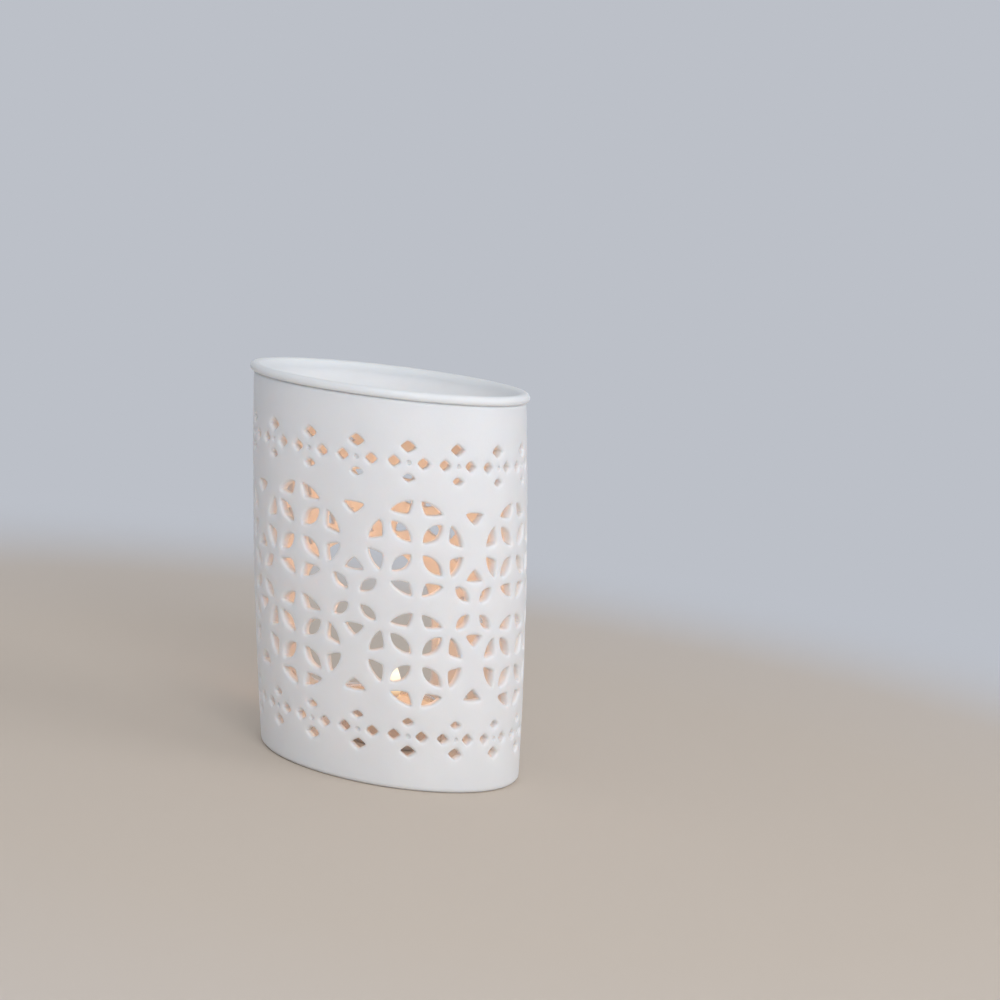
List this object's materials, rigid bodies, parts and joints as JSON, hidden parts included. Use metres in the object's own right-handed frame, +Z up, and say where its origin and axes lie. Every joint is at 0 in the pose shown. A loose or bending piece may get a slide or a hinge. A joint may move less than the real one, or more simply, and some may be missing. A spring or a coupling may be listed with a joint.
{
  "type": "essential oil burner",
  "caption": "Pierced ceramic cylinder oil burner with a loose shallow oil dish on its mouth and a tealight inside, put in through an arched opening at the back.",
  "frame": {"origin": "centre of the base, on the burner's axis, at the height of the surface that it stands on", "axes": "+Z up along the body; -Y out through the front column of rosettes; +Y out through the opening for the tealight"},
  "size_m": [0.0948, 0.0948, 0.1371],
  "materials": {
    "body_glaze": "satin",
    "dish_glaze": "satin",
    "foil": "satin",
    "wax": "satin",
    "wick": "matte",
    "sustainer": "satin"
  },
  "bodies": {
    "burner": {"burner_body": "body_glaze"},
    "dish": {"oil_dish": "dish_glaze"},
    "tealight": {"tealight_cup": "foil", "tealight_wax": "wax", "tealight_wick": "wick", "wick_sustainer": "sustainer"}
  },
  "joints": [
    {"name": "dish_lift", "type": "slide", "parent": "burner", "child": "dish", "axis": [0, 0, 1], "range_m": [0, 0.06]},
    {"name": "tealight_draw", "type": "slide", "parent": "burner", "child": "tealight", "axis": [0, 0.9063, 0.4226], "range_m": [0, 0.078]}
  ]
}
